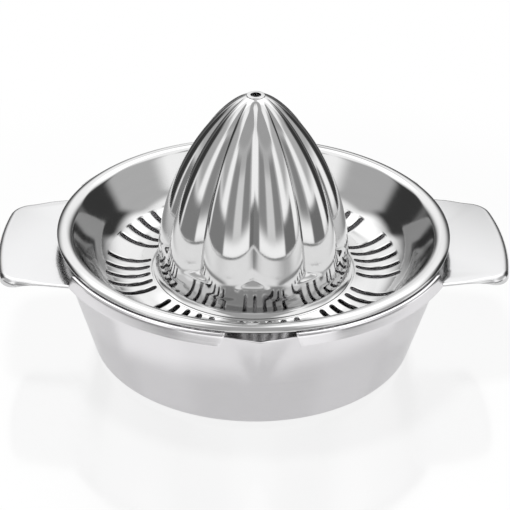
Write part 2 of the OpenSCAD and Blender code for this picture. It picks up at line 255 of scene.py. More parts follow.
def arc(center, radius, start, end, steps):
    """Points on an arc, with the angles in degrees."""
    points = []
    for i in range(steps + 1):
        angle = math.radians(start + (end - start) * i / steps)
        points.append(Vector(center) + radius * Vector((math.cos(angle), math.sin(angle))))
    return points


def line(start, end, steps):
    """Points on a straight line, without its two ends."""
    return [Vector(start).lerp(Vector(end), i / steps) for i in range(1, steps)]


def round_corner(before, corner, after, radius, steps):
    """Arc that rounds the corner of two lines."""
    u = (before - corner).normalized()
    v = (after - corner).normalized()
    half = u.angle(v) / 2.0
    middle = corner + (u + v).normalized() * radius / math.sin(half)
    start = corner + u * radius / math.tan(half) - middle
    end = corner + v * radius / math.tan(half) - middle
    sweep = math.atan2(start.x * end.y - start.y * end.x, start.dot(end))
    angle = math.atan2(start.y, start.x)
    return arc(middle, radius, math.degrees(angle), math.degrees(angle + sweep), steps)


def lathe(path, steps, start):
    """Sheet spun round the axis from a path of radius and height, which starts at an angle."""
    bm = bmesh.new()
    verts = [bm.verts.new((p.x, 0.0, p.y)) for p in path]
    for a, b in zip(verts, verts[1:]):
        bm.edges.new((a, b))
    geom = bm.verts[:] + bm.edges[:]
    bmesh.ops.spin(
        bm, geom=geom, cent=(0, 0, 0), axis=(0, 0, 1), angle=math.tau, steps=steps, use_merge=True
    )
    bmesh.ops.remove_doubles(bm, verts=bm.verts[:], dist=1e-7)
    bmesh.ops.recalc_face_normals(bm, faces=bm.faces[:])
    inner = min(bm.faces, key=lambda f: f.calc_center_median().xy.length)
    if inner.normal.z < 0:
        bmesh.ops.reverse_faces(bm, faces=bm.faces[:])
    bmesh.ops.rotate(bm, verts=bm.verts[:], cent=(0, 0, 0), matrix=Matrix.Rotation(start, 3, "Z"))
    return bm


def cut(bm, point, normal, chosen):
    """Cuts the chosen faces along a plane."""
    faces = [f for f in bm.faces if chosen(f.calc_center_median())]
    edges = list(dict.fromkeys(e for f in faces for e in f.edges))
    verts = list(dict.fromkeys(v for f in faces for v in f.verts))
    bmesh.ops.bisect_plane(bm, geom=faces + edges + verts, dist=1e-7, plane_co=point, plane_no=normal)


def remove(bm, chosen):
    """Takes the chosen faces away."""
    faces = [f for f in bm.faces if chosen(f.calc_center_median())]
    bmesh.ops.delete(bm, geom=faces, context="FACES")


def mesh_object(bm, name, material):
    """Object of a finished mesh with one material."""
    mesh = bpy.data.meshes.new(name)
    bm.to_mesh(mesh)
    bm.free()
    mesh.materials.append(material)
    made = bpy.data.objects.new(name, mesh)
    bpy.context.scene.collection.objects.link(made)
    return made


def sheet_metal(bm, name, thickness, material, edge):
    """Object of a sheet that lies under the modelled face, with softened cut edges."""
    piece = mesh_object(bm, name, material)
    modelled = piece.data
    solid = piece.modifiers.new("Sheet", "SOLIDIFY")
    solid.thickness = thickness
    solid.offset = -1.0
    solid.use_even_offset = True
    solid.use_quality_normals = True
    if edge > 0.0:
        soften = piece.modifiers.new("Edges", "BEVEL")
        soften.limit_method = "ANGLE"
        soften.angle_limit = math.radians(50)
        soften.width = edge
        soften.segments = 2
    depsgraph = bpy.context.evaluated_depsgraph_get()
    finished = bpy.data.meshes.new_from_object(piece.evaluated_get(depsgraph))
    piece.modifiers.clear()
    piece.data = finished
    bpy.data.meshes.remove(modelled)
    finished.name = name
    smooth_faces(finished, math.radians(32))
    return piece


def smooth_faces(mesh, limit):
    """Smooth shading with sharp edges over an angle."""
    bm = bmesh.new()
    bm.from_mesh(mesh)
    for face in bm.faces:
        face.smooth = True
    for edge in bm.edges:
        edge.smooth = edge.calc_face_angle(0.0) < limit
    bm.to_mesh(mesh)
    bm.free()


def bowl_path(s):
    """The bowl's upper face, from the axis over the foot and up the wall to the collar's edge."""
    lean = math.atan2(s.mouth_radius - s.foot_radius, s.height)
    slope = math.tan(lean)
    crown_z = s.height - s.crown_bend
    crown_r = s.foot_radius + crown_z * slope + (s.crown_bend - s.sheet) / math.cos(lean)
    crown = Vector((crown_r, crown_z))
    over = arc(crown, s.crown_bend, 180 - math.degrees(lean), math.degrees(s.collar_lean), 14)
    corner = Vector((s.foot_radius + s.sheet * slope - s.sheet / math.cos(lean), s.sheet))
    middle = Vector((0.0, s.sheet))
    foot = round_corner(middle, corner, over[0], s.foot_bend, 8)
    edge_z = s.height - s.collar_height
    edge = Vector((over[-1].x + (over[-1].y - edge_z) * math.tan(s.collar_lean), edge_z))
    path = [middle] + line(middle, foot[0], 8) + foot + line(foot[-1], over[0], 44)
    return path + over + line(over[-1], edge, 6) + [edge]


def wall_inside(s, z):
    """Inner radius of the bowl's wall at a height."""
    lean = math.atan2(s.mouth_radius - s.foot_radius, s.height)
    return s.foot_radius + z * math.tan(lean) - s.sheet / math.cos(lean)


def press_spout(bm, s):
    """Presses the pouring lip out of the front of the wall."""
    lip_z = s.height - s.lip_drop
    low_z = lip_z - s.spout_height
    half = s.spout_width / 2.0
    low_y = -wall_inside(s, low_z)
    tip_y = -wall_inside(s, lip_z) - s.spout_push
    side_y = -math.sqrt(wall_inside(s, lip_z) ** 2 - half**2)
    crease = 1.2 * MM
    lip_band = 6 * MM
    blend = 0.5 * MM
    wall_slack = 0.2 * MM
    for v in bm.verts:
        x, y, z = v.co
        radius = v.co.xy.length
        if y > 0 or z > lip_z + 1e-6 or z < low_z or abs(x) > SPOUT_REACH * half:
            continue
        if radius > wall_inside(s, z) + wall_slack:
            continue
        up = (z - low_z) / s.spout_height
        across = (math.sqrt(x * x + crease * crease) - crease) / half
        pressed = low_y + up * (tip_y - low_y) + across * (side_y - tip_y)
        v.co.y = -soft_max(-y, -pressed, blend * ease(up * 3.0) + 1e-6)
        dip = s.lip_dip * max(1.0 - abs(x) / half, 0.0)
        v.co.z -= dip * ease((z - lip_z + lip_band) / lip_band)


def make_bowl(s, material):
    """Juice bowl: spun, cut out at the ears and at the spout, and pressed out at the spout."""
    bm = lathe(bowl_path(s), BOWL_SIDES, 0.0)
    lip_z = s.height - s.lip_drop
    edge_z = s.height - s.collar_height
    half = s.gap_width / 2.0
    slant = s.gap_flare / s.collar_height
    spout_margin = 4 * MM
    notch_margin = 3 * MM
    wall_slack = 0.3 * MM

    def at_spout(p):
        return p.y < 0 and abs(p.x) < SPOUT_REACH * half and p.z > edge_z - spout_margin

    def at_ears(p):
        return abs(p.x) > 0.5 * s.mouth_radius and p.z > s.notch_floor - notch_margin

    for side in (-1, 1):
        cut(bm, (side * half, 0, s.height), (side, 0, slant), at_spout)
        cut(bm, (0, side * s.notch_width / 2.0, 0), (0, 1, 0), at_ears)
    cut(bm, (0, 0, lip_z), (0, 0, 1), at_spout)
    cut(bm, (0, 0, s.notch_floor), (0, 0, 1), at_ears)

    def in_gap(p):
        open_half = half + (s.height - p.z) * slant
        outside = p.xy.length > wall_inside(s, p.z) + wall_slack
        return at_spout(p) and abs(p.x) < open_half and (p.z > lip_z or outside)

    def in_notch(p):
        return at_ears(p) and abs(p.y) < s.notch_width / 2.0 and p.z > s.notch_floor

    remove(bm, in_gap)
    remove(bm, in_notch)
    press_spout(bm, s)
    return sheet_metal(bm, "bowl_shell", s.sheet, material, edge=0.12 * MM)


def trough_section(s):
    """Middle and radius of the trough's round section, the wall's two ends and the shoulder's middle."""
    lean = Vector((math.cos(s.wall_lean), -math.sin(s.wall_lean)))
    start = Vector((math.cos(s.curl_start), math.sin(s.curl_start)))
    shoulder = Vector((s.curl_reach, s.curl_height)) - (s.shoulder_radius - s.curl_radius) * start
    wall_end = shoulder - s.shoulder_radius * lean
    room = (wall_end - Vector((s.hole_radius, s.low_height))).dot(lean)
    radius = room / (1.0 + lean.y + math.sin(s.floor_fall) * lean.x)
    middle = Vector((s.hole_radius + radius * math.sin(s.floor_fall), s.low_height + radius))
    return middle, radius, middle + radius * lean, wall_end, shoulder


def tray_path(s):
    """The tray's upper face, from the hole through the trough and up the wall to the rim's curl."""
    middle, radius, wall_foot, wall_end, shoulder = trough_section(s)
    lean = math.degrees(s.wall_lean)
    start = math.degrees(s.curl_start)
    curl = Vector((s.curl_reach, s.curl_height))
    trough = arc(middle, radius, -90 - math.degrees(s.floor_fall), -lean, 44)
    rows = [Vector((r, middle.y - math.sqrt(radius**2 - (r - middle.x) ** 2))) for r in slot_rows(s)]
    floor = sorted([p for p in trough if not near_slot_end(s, p)] + rows, key=lambda p: p.x)
    path = floor + line(wall_foot, wall_end, 14)
    path += arc(shoulder, s.shoulder_radius, 180 - lean, start, 28)
    return path + arc(curl, s.curl_radius, start, math.degrees(s.curl_end), 28)[1:]


def slot_rows(s):
    """Radii of the rows that shape the round ends of the slots."""
    half = s.slot_width / 2.0
    steps = (-0.3, 0.0, 0.08, 0.3, 0.62, 1.0)
    inner = [s.slot_start + half * t for t in steps]
    outer = [s.slot_end - half * t for t in reversed(steps)]
    return inner + outer


def near_slot_end(s, p):
    """Whether a point of the trough lies where the rows of the slots' ends are."""
    half = 1.3 * s.slot_width / 2.0
    return abs(p.x - s.slot_start - 0.3 * half) < half or abs(p.x - s.slot_end + 0.3 * half) < half


def slot_half_width(s, radius):
    """Half the width of a slot at a radius, with round ends."""
    half = s.slot_width / 2.0
    inside = min(radius - s.slot_start, s.slot_end - radius)
    if inside >= half:
        return half
    if inside <= 0.0:
        return 0.0
    return math.sqrt(half * half - (half - inside) ** 2)


def make_tray(s, material):
    """Strainer tray: spun with six cells to a slot's pitch, two of which open into the slot."""
    bm = lathe(tray_path(s), TRAY_SIDES, s.slot_turn)
    cell = math.tau / TRAY_SIDES
    sector = GROUP_CELLS * cell
    squeeze = s.slot_step / (SLOT_CELLS * cell)
    wall_foot = trough_section(s)[2]

    def slot_place(p):
        """Angle from the middle of the nearest slot, in cells, and that slot's number in its group."""
        angle = math.atan2(p.y, p.x) - s.slot_turn
        group = round(angle / sector) * sector
        index = round((angle - group) / (SLOT_CELLS * cell))
        return (angle - group) / cell - SLOT_CELLS * index, index

    def in_floor(p):
        return s.slot_start - 1e-6 < p.xy.length < s.slot_end + 1e-6 and p.z < wall_foot.y

    for v in bm.verts:
        away, index = slot_place(v.co)
        shift = 0.0
        if abs(index) <= SLOTS_ASIDE:
            shift = (SLOT_CELLS * index + away) * cell * (squeeze - 1.0)
            if round(abs(away)) == 1 and in_floor(v.co):
                wide = math.asin(slot_half_width(s, v.co.xy.length) / v.co.xy.length)
                shift = SLOT_CELLS * index * cell * (squeeze - 1.0)
                shift += math.copysign(wide, away) - away * cell
        v.co = Matrix.Rotation(shift, 3, "Z") @ v.co
    bmesh.ops.remove_doubles(bm, verts=bm.verts[:], dist=2e-6)

    def in_slot(p):
        angle = math.atan2(p.y, p.x) - s.slot_turn
        angle -= round(angle / sector) * sector
        index = round(angle / s.slot_step)
        off = abs(angle - index * s.slot_step) * p.xy.length
        half = slot_half_width(s, p.xy.length)
        return abs(index) <= SLOTS_ASIDE and in_floor(p) and off < 0.98 * half

    remove(bm, in_slot)
    return sheet_metal(bm, "tray_shell", s.sheet, material, edge=0.1 * MM)


def lobe_radius(crest, groove, angle, lobes):
    """Radius of a round lobe between two grooves, at an angle from its crest."""
    middle = (crest * crest - groove * groove) / (2.0 * (crest - groove * math.cos(math.pi / lobes)))
    return middle * math.cos(angle) + math.sqrt((crest - middle) ** 2 - (middle * math.sin(angle)) ** 2)


def skirt_radius(s, z):
    """Radius of the skirt at a height: flared at its foot, and turned in between the lobes."""
    foot = s.flange_height + SKIRT_FOOT
    down = max(s.waist_height - z, 0.0) / (s.waist_height - foot)
    flare = min(max(foot + s.flare_height - z, 0.0) / s.flare_height, 1.0)
    inward = min(max(z - s.waist_height, 0.0) / s.waist_round, 1.0)
    waist_tuck = 4.5 * MM
    tuck = waist_tuck * (1.0 - math.sqrt(1.0 - inward * inward))
    lean = (s.skirt_radius - s.flare - s.waist_radius) * min(down, 1.0)
    return s.waist_radius + lean + s.flare * flare * flare - tuck


def crest_radius(s, z):
    """Radius of the lobes' crests at a height. The toes are rounded in."""
    ring = s.tip_radius - s.sheet / 2.0
    rise = (z - s.toe_height) / (s.tip_height - s.sheet / 2.0 - s.toe_height)
    toe_top = s.toe_height + 2.8 * MM
    toe_round = 2.9 * MM
    toe_tuck = 2.4 * MM
    toe = max(toe_top - z, 0.0) / toe_round
    tuck = toe_tuck * (1.0 - math.sqrt(max(1.0 - toe * toe, 0.0)))
    if rise <= 0.0:
        return s.radius - tuck
    return ring + (s.radius - ring) * (1.0 - min(rise, 1.0) ** s.curve) ** s.taper - tuck


def cone_surface(s, z, angle):
    """Radius of the cone at a height and an angle from the nearest crest."""
    crest = crest_radius(s, z)
    depth = s.groove_depth * crest / s.radius * ease((crest - s.tip_radius) / s.tip_radius)
    lobe = lobe_radius(crest, crest - max(depth, 1e-5), angle, s.lobes)
    if z > s.waist_height + s.waist_round:
        return lobe
    return soft_max(lobe, skirt_radius(s, z), 0.5 * MM)


def cone_path(s):
    """Crest line of the cone's outer face, from the flange up the skirt and lobes to the tip's hole."""
    foot = s.flange_height
    inner = s.skirt_radius + 0.4 * MM
    fall = (s.flange_radius - inner) * math.tan(s.flange_fall)
    path = [Vector((s.flange_radius, foot - fall)), Vector((inner, foot))]
    path += [Vector((s.skirt_radius + 0.1 * MM, foot + 0.15 * MM))]
    low = foot + SKIRT_FOOT
    top = s.waist_height + s.waist_round + 1 * MM
    skirt_rows = 64
    lobe_rows = 60
    heights = [low + (top - low) * i / skirt_rows for i in range(skirt_rows + 1)]
    ring = s.tip_radius - s.sheet / 2.0
    climb = s.tip_height - s.sheet / 2.0 - s.toe_height
    first = math.asin(((top - s.toe_height) / climb) ** (s.curve / 2.0))
    last = math.acos(((s.tip_radius + 0.1 * MM - ring) / (s.radius - ring)) ** (0.5 / s.taper))
    for i in range(1, lobe_rows + 1):
        sine = math.sin(first + (last - first) * i / lobe_rows)
        heights.append(s.toe_height + climb * sine ** (2.0 / s.curve))
    path += [Vector((cone_surface(s, z, 0.0), z)) for z in heights]
    end = path[-1]
    edge = Vector((s.hole_radius, s.tip_height))
    shoulder = Vector((end.x, s.tip_height))
    path += round_corner(end, shoulder, edge, min(0.3 * MM, 0.9 * (s.tip_height - end.y)), 4)
    return path + [Vector((s.hole_radius + 0.4 * MM, s.tip_height)), edge]


def make_cone(s, material):
    """Reamer cone: spun and pressed into lobes."""
    start = s.turn - math.pi / 2.0
    bm = lathe(cone_path(s), LOBE_SIDES * s.lobes, start)
    span = math.tau / s.lobes
    low = s.flange_height + 0.3 * MM
    for v in bm.verts:
        radius = v.co.xy.length
        if v.co.z < low or radius < s.tip_radius + 0.05 * MM:
            continue
        around = (math.atan2(v.co.y, v.co.x) - start) % span
        crest = cone_surface(s, v.co.z, 0.0)
        scale = cone_surface(s, v.co.z, around - span / 2.0) / crest
        v.co.x *= scale
        v.co.y *= scale
    return sheet_metal(bm, "cone_shell", s.sheet, material, edge=0.0)


def ear_outline(s, inset):
    """Free edge of an ear, from its root over one side, the bowed end and the other side."""
    rim_x = math.sqrt(s.rim**2 - (s.root_width / 2.0) ** 2)
    taper = (s.root_width - s.end_width) / 2.0 / (s.end - rim_x)
    root_x = 0.8 * s.root_radius
    side = Vector((root_x, s.root_width / 2.0 + taper * (rim_x - root_x) - inset))
    end_half = s.end_width / 2.0 - inset
    bow = s.bow - inset
    middle = s.end - s.bow
    corner = Vector((middle + math.sqrt(bow * bow - end_half * end_half), end_half))
    beside = Vector((middle + math.sqrt(bow * bow - (end_half - 8 * MM) ** 2), end_half - 8 * MM))
    bend = round_corner(side, corner, beside, s.corner - inset, 16)
    radius = s.root_radius
    way = (bend[0] - side).normalized()
    back = side.dot(way)
    root = side + way * (-back + math.sqrt(back * back - side.dot(side) + radius * radius))
    half = [root] + line(root, bend[0], 14) + bend
    last = math.asin(bend[-1].y / bow)
    sweep = [last * (1.0 - i / 10) for i in range(1, 10)]
    half += [Vector((middle + bow * math.cos(a), bow * math.sin(a))) for a in sweep]
    tip = Vector((middle + bow, 0.0))
    return half + [tip] + [Vector((p.x, -p.y)) for p in reversed(half)]


def draw_out(bm, row):
    """Draws a row of edges out into new faces, and gives the new row and its points."""
    grown = bmesh.ops.extrude_edge_only(bm, edges=row)["geom"]
    edges = [g for g in grown if isinstance(g, bmesh.types.BMEdge)]
    return edges, [g for g in grown if isinstance(g, bmesh.types.BMVert)]


def make_ear(s, name, side, material):
    """Ear: a flat plate whose free edge is rolled over into a lip, with a weld flange at its root."""
    edge = ear_outline(s, 0.0)
    inner = ear_outline(s, 1 * MM)
    inward = [(b - a).normalized() for a, b in zip(edge, inner)]
    root_lip = 0.35 * MM
    lip_start = 0.12
    lip_run = 0.75
    steepest_cosine = 0.12
    depths = []
    for p in edge:
        out = (p.x - s.rim) / (s.end - s.rim)
        depths.append(root_lip + (s.lip - root_lip) * ease((out - lip_start) / lip_run))
    turns = [math.acos(max(1.0 - d / s.bend, steepest_cosine)) for d in depths]

    def rolled(i, t):
        """Place of a point of the edge, from the flat plate at 0 to the lip at 1."""
        angle = turns[i] * t
        reach = s.bend * (math.sin(turns[i]) - math.sin(angle))
        straight = max(depths[i] - s.bend * (1.0 - math.cos(turns[i])), 0.0) if t == 1.0 else 0.0
        spot = edge[i] + inward[i] * reach
        return Vector((spot.x, spot.y, s.top - s.bend * (1.0 - math.cos(angle)) - straight))

    bm = bmesh.new()
    chain = [bm.verts.new(rolled(i, 0.0)) for i in range(len(edge))]
    wide = math.atan2(chain[0].co.y, chain[0].co.x)
    root_sides = 28
    root = []
    for i in range(1, root_sides):
        angle = -wide + 2.0 * wide * i / root_sides
        spot = Vector((s.root_radius * math.cos(angle), s.root_radius * math.sin(angle), s.top))
        root.append(bm.verts.new(spot))
    plate = bm.faces.new(chain + root)
    plate.normal_update()
    if plate.normal.z < 0:
        bmesh.ops.reverse_faces(bm, faces=[plate])
    order = {v: i for i, v in enumerate(chain)}
    row = [e for e in plate.edges if set(e.verts) <= set(chain)]
    row = [e for e in row if abs(order[e.verts[0]] - order[e.verts[1]]) == 1]
    roll_steps = 8
    for step in range(1, roll_steps + 1):
        row, points = draw_out(bm, row)
        new_order = {}
        for v in points:
            new_order[v] = next(order[n] for n in (e.other_vert(v) for e in v.link_edges) if n in order)
            v.co = rolled(new_order[v], step / roll_steps)
        order = new_order
    weld = [v for v in root if abs(math.atan2(v.co.y, v.co.x)) <= s.weld_angle]
    weld_row = [e for e in plate.edges if set(e.verts) <= set(weld)]
    weld_bend = 0.4 * MM
    for drop in (weld_bend, s.weld_height):
        weld_row, points = draw_out(bm, weld_row)
        radius = s.root_radius - drop * math.tan(s.weld_lean)
        for v in points:
            scale = radius / v.co.xy.length
            v.co = Vector((v.co.x * scale, v.co.y * scale, s.top - drop))
    bmesh.ops.recalc_face_normals(bm, faces=bm.faces[:])
    if plate.normal.z < 0:
        bmesh.ops.reverse_faces(bm, faces=bm.faces[:])
    if side < 0:
        bmesh.ops.rotate(bm, verts=bm.verts[:], cent=(0, 0, 0), matrix=Matrix.Rotation(math.pi, 3, "Z"))
    return sheet_metal(bm, name, s.sheet, material, edge=0.15 * MM)


def new_group(name, inputs, outputs):
    """Empty shader node group with named float or vector sockets."""
    group = bpy.data.node_groups.new(name, "ShaderNodeTree")
    for label, kind in inputs:
        group.interface.new_socket(label, in_out="INPUT", socket_type=kind)
    for label, kind in outputs:
        group.interface.new_socket(label, in_out="OUTPUT", socket_type=kind)
    return group


def add_node(tree, kind, inputs=None, **settings):
    """Node of a kind with its settings, and with values for some of its inputs."""
    node = tree.nodes.new(kind)
    for key, value in settings.items():
        setattr(node, key, value)
    for label, value in (inputs or {}).items():
        node.inputs[label].default_value = value
    return node


def feed(tree, kind, *values, **settings):
    """First output of a node that is fed with sockets or numbers, in the order of its inputs."""
    node = add_node(tree, kind, **settings)
    for socket, value in zip(node.inputs, values):
        if isinstance(value, (int, float)):
            socket.default_value = value
        else:
            tree.links.new(value, socket)
    return node.outputs[0]


def add_math(tree, operation, a, b):
    """Math node on two sockets or numbers."""
    return feed(tree, "ShaderNodeMath", a, b, operation=operation)


def grain_group():
    """Fine streaks along the first axis of a vector, and coarse clouds: two values round 0.5."""
    group = new_group(
        "Brushed grain",
        [("Vector", "NodeSocketVector"), ("Fineness", "NodeSocketFloat"), ("Stretch", "NodeSocketFloat")],
        [("Streaks", "NodeSocketFloat"), ("Clouds", "NodeSocketFloat")],
    )
    start = add_node(group, "NodeGroupInput")
    end = add_node(group, "NodeGroupOutput")
    split = add_node(group, "ShaderNodeSeparateXYZ")
    group.links.new(start.outputs["Vector"], split.inputs[0])
    x, y, z = split.outputs
    along = add_math(group, "DIVIDE", x, start.outputs["Stretch"])
    drawn = feed(group, "ShaderNodeCombineXYZ", along, y, z)
    streaks = add_node(group, "ShaderNodeTexNoise", {"Detail": 4.0, "Roughness": 0.7})
    group.links.new(drawn, streaks.inputs["Vector"])
    group.links.new(start.outputs["Fineness"], streaks.inputs["Scale"])
    clouds = add_node(group, "ShaderNodeTexNoise", {"Scale": 60.0, "Detail": 2.0})
    group.links.new(start.outputs["Vector"], clouds.inputs["Vector"])
    group.links.new(streaks.outputs[0], end.inputs["Streaks"])
    group.links.new(clouds.outputs[0], end.inputs["Clouds"])
    return group


def new_material(name):
    """Material without a shader: the material, its nodes and the socket that its shader goes to."""
    material = bpy.data.materials.new(name)
    material.use_nodes = True
    tree = material.node_tree
    tree.nodes.clear()
    return material, tree, add_node(tree, "ShaderNodeOutputMaterial").inputs["Surface"]


def round_vector(tree):
    """Object coordinates as way round the axis, height and radius, all in metres."""
    coords = add_node(tree, "ShaderNodeTexCoord")
    split = add_node(tree, "ShaderNodeSeparateXYZ")
    tree.links.new(coords.outputs["Object"], split.inputs[0])
    x, y, z = split.outputs
    mean_radius = 75 * MM
    around = add_math(tree, "MULTIPLY", add_math(tree, "ARCTAN2", y, x), mean_radius)
    squares = add_math(tree, "ADD", add_math(tree, "MULTIPLY", x, x), add_math(tree, "MULTIPLY", y, y))
    radius = add_math(tree, "SQRT", squares, 0.0)
    return feed(tree, "ShaderNodeCombineXYZ", around, z, radius)


def plain_vector(tree):
    """Object coordinates as they are."""
    return add_node(tree, "ShaderNodeTexCoord").outputs["Object"]


def steel(name, vector, group, color, roughness, grain, fineness, stretch, bump):
    """Steel whose streaks change its roughness, its colour a little and its face."""
    material, tree, surface = new_material(name)
    shader = add_node(tree, "ShaderNodeBsdfPrincipled", {"Metallic": 1.0})
    tree.links.new(shader.outputs[0], surface)
    brushed = {"Fineness": fineness, "Stretch": stretch}
    streak = add_node(tree, "ShaderNodeGroup", brushed, node_tree=group)
    tree.links.new(vector(tree), streak.inputs["Vector"])
    streaks = add_math(tree, "MULTIPLY", streak.outputs["Streaks"], STREAK_SHARE)
    clouds = add_math(tree, "MULTIPLY", streak.outputs["Clouds"], 1.0 - STREAK_SHARE)
    mixed = add_math(tree, "ADD", streaks, clouds)
    spread = {"From Min": GRAIN_LOW, "From Max": GRAIN_HIGH}
    spread["To Min"] = roughness * (1.0 - grain)
    spread["To Max"] = roughness * (1.0 + grain)
    rough = add_node(tree, "ShaderNodeMapRange", spread)
    tree.links.new(mixed, rough.inputs["Value"])
    tree.links.new(rough.outputs[0], shader.inputs["Roughness"])
    shade = add_node(tree, "ShaderNodeMix", data_type="RGBA")
    darker = [c * (1.0 - GRAIN_DARKER * grain) for c in color]
    lighter = [min(c * (1.0 + GRAIN_LIGHTER * grain), 1.0) for c in color]
    shade.inputs[6].default_value = (*darker, 1.0)
    shade.inputs[7].default_value = (*lighter, 1.0)
    tree.links.new(mixed, shade.inputs[0])
    tree.links.new(shade.outputs[2], shader.inputs["Base Color"])
    lift = add_node(tree, "ShaderNodeBump", {"Strength": bump, "Distance": GRAIN_RELIEF})
    tree.links.new(streak.outputs["Streaks"], lift.inputs["Height"])
    tree.links.new(lift.outputs[0], shader.inputs["Normal"])
    return material


def juicer_materials(finish):
    """The materials of the pieces, made once."""
    group = bpy.data.node_groups.get("Brushed grain") or grain_group()
    found = bpy.data.materials
    if "satin_steel_round" not in found:
        satin = (finish.satin_roughness, finish.satin_grain)
        # One satin steel in two copies: a lighter one with painted light for the bowl, and a darker one
        # with painted shade for the ears.
        bowl = (tuple(finish.bowl_lit_color), *satin)
        ear = (tuple(finish.ear_shaded_color), *satin)
        polish = (tuple(finish.polished_color), finish.polished_roughness, finish.polished_haze)
        steel("satin_steel_round", round_vector, group, *bowl, fineness=900.0, stretch=60.0, bump=0.1)
        steel("satin_steel_flat", plain_vector, group, *ear, fineness=900.0, stretch=40.0, bump=0.1)
        steel("polished_steel_tray", round_vector, group, *polish, fineness=300.0, stretch=12.0, bump=0.02)
        steel("polished_steel_cone", plain_vector, group, *polish, fineness=300.0, stretch=1.0, bump=0.02)
    return found


def place(piece, body, node):
    """Ties a piece to its body and hides the imported node that it stands for."""
    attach(piece, body)
    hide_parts(node)


class JUICER_OT_bowl(bpy.types.Operator):
    """Build the juice bowl with its rim, cut-outs and pouring spout"""

    bl_idname = "juicer.bowl"
    bl_label = "Juice bowl"

    def execute(self, context):
        found = juicer_materials(context.scene.juicer_finish)
        piece = make_bowl(context.scene.juicer_bowl, found["satin_steel_round"])
        place(piece, "bowl", "juice_bowl")
        return {"FINISHED"}


class JUICER_OT_tray(bpy.types.Operator):
    """Build the strainer tray with its slots and curled rim"""

    bl_idname = "juicer.tray"
    bl_label = "Strainer tray"

    def execute(self, context):
        found = juicer_materials(context.scene.juicer_finish)
        piece = make_tray(context.scene.juicer_tray, found["polished_steel_tray"])
        place(piece, "strainer", "strainer_tray")
        return {"FINISHED"}


class JUICER_OT_cone(bpy.types.Operator):
    """Build the lobed reamer cone"""

    bl_idname = "juicer.cone"
    bl_label = "Reamer cone"

    def execute(self, context):
        found = juicer_materials(context.scene.juicer_finish)
        piece = make_cone(context.scene.juicer_cone, found["polished_steel_cone"])
        place(piece, "strainer", "reamer_cone")
        return {"FINISHED"}


class JUICER_OT_ears(bpy.types.Operator):
    """Build the two ears that the strainer is lifted by"""

    bl_idname = "juicer.ears"
    bl_label = "Ears"

    def execute(self, context):
        found = juicer_materials(context.scene.juicer_finish)
        for name, node, side in (("ear_left", "left_handle", -1), ("ear_right", "right_handle", 1)):
            piece = make_ear(context.scene.juicer_ears, name, side, found["satin_steel_flat"])
            place(piece, "strainer", node)
        return {"FINISHED"}


def seen_directly(tree, direct, mirrored):
    """A value for what the camera sees, one for what a mirror or a glass sees, and else 0."""
    path = add_node(tree, "ShaderNodeLightPath")
    glass = add_math(tree, "MAXIMUM", path.outputs["Is Glossy Ray"], path.outputs["Is Transmission Ray"])
    camera = add_math(tree, "MULTIPLY", path.outputs["Is Camera Ray"], direct)
    return add_math(tree, "MAXIMUM", camera, add_math(tree, "MULTIPLY", glass, mirrored))


def make_world(s):
    """White studio that lights the scene softly."""
    world = bpy.data.worlds.new("Studio")
    world.use_nodes = True
    tree = world.node_tree
    tree.nodes.clear()
    out = add_node(tree, "ShaderNodeOutputWorld")
    seen = add_node(tree, "ShaderNodeBackground", {"Color": (1.0, 1.0, 1.0, 1.0)})
    soft = (s.room_light, s.room_light, s.room_light, 1.0)
    light = add_node(tree, "ShaderNodeBackground", {"Color": soft})
    direct = seen_directly(tree, 1.0, 1.0)
    studio = feed(tree, "ShaderNodeMixShader", direct, light.outputs[0], seen.outputs[0])
    tree.links.new(studio, out.inputs["Surface"])
    bpy.context.scene.world = world


def floor_material(s):
    """Pale floor with a faint shadow and mirror image near the juicer, white further out."""
    material, tree, surface = new_material("pale_floor")
    matt = add_node(tree, "ShaderNodeBsdfDiffuse", {"Color": (*s.floor_color, 1.0)})
    white = add_node(tree, "ShaderNodeEmission")
    coords = add_node(tree, "ShaderNodeTexCoord")
    reach = add_node(tree, "ShaderNodeVectorMath", operation="LENGTH")
    tree.links.new(coords.outputs["Object"], reach.inputs[0])
    band = {"From Min": s.shade_start, "From Max": s.shade_end, "To Min": 1.0, "To Max": 0.0}
    near = add_node(tree, "ShaderNodeMapRange", band, interpolation_type="SMOOTHSTEP")
    tree.links.new(reach.outputs["Value"], near.inputs["Value"])
    shaded = add_math(tree, "MULTIPLY", near.outputs[0], s.floor_shadow)
    direct = add_math(tree, "SUBTRACT", 1.0, shaded)
    fade = seen_directly(tree, direct, 1.0 - s.mirror_shadow)
    base = feed(tree, "ShaderNodeMixShader", fade, matt.outputs[0], white.outputs[0])
    clear = 1.0 / s.studio_power
    coat = {"Color": (clear, clear, clear, 1.0), "Roughness": s.gloss_roughness}
    gloss = add_node(tree, "ShaderNodeBsdfAnisotropic", coat)
    sheen = add_math(tree, "MULTIPLY", near.outputs[0], s.floor_gloss)
    coated = feed(tree, "ShaderNodeMixShader", sheen, base, gloss.outputs[0])
    tree.links.new(coated, surface)
    return material


def make_floor(s):
    """Round floor under the juicer."""
    bm = bmesh.new()
    bmesh.ops.create_circle(bm, cap_ends=True, segments=96, radius=s.floor_radius)
    floor = mesh_object(bm, "floor", floor_material(s))


def dome_material(s):
    """Glow with the shade that is painted on the dome."""
    material, tree, surface = new_material("studio_dome")
    glow = add_node(tree, "ShaderNodeEmission", {"Strength": s.studio_power})
    painted = add_node(tree, "ShaderNodeAttribute", attribute_name="shade")
    tree.links.new(painted.outputs["Color"], glow.inputs["Color"])
    tree.links.new(glow.outputs[0], surface)
    return material


